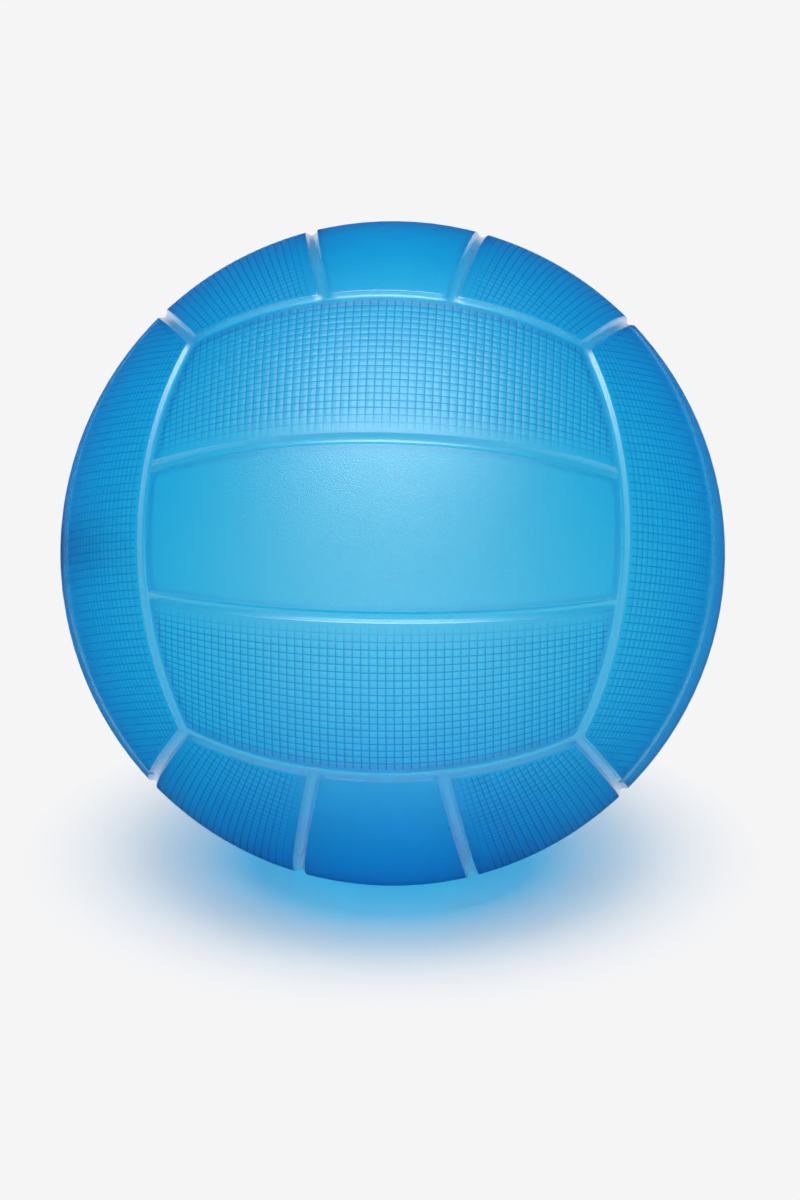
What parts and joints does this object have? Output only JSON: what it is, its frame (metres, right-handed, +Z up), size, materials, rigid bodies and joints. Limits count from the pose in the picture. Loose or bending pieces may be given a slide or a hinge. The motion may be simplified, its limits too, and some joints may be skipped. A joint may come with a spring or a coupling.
{
  "type": "beach volleyball",
  "caption": "Hollow play ball moulded in one piece from translucent soft plastic, with channels between its imitation panels and a needle valve.",
  "frame": {"origin": "centre of the ball", "axes": "+Z up as the ball lies on the ground, -Y towards the front face, which looks slightly up, and -X out along the valve"},
  "size_m": [0.2095, 0.21, 0.21],
  "materials": {
    "soft_pvc": "translucent azure soft PVC, frosted panels and glossy channels, as rotationally moulded",
    "valve_pvc": "smooth clear blue soft PVC, as injection moulded",
    "valve_rubber": "matt blue soft rubber"
  },
  "bodies": {
    "root": {"moulded_skin": "soft_pvc", "valve_housing": "valve_pvc", "valve_core": "valve_rubber"}
  },
  "joints": []
}
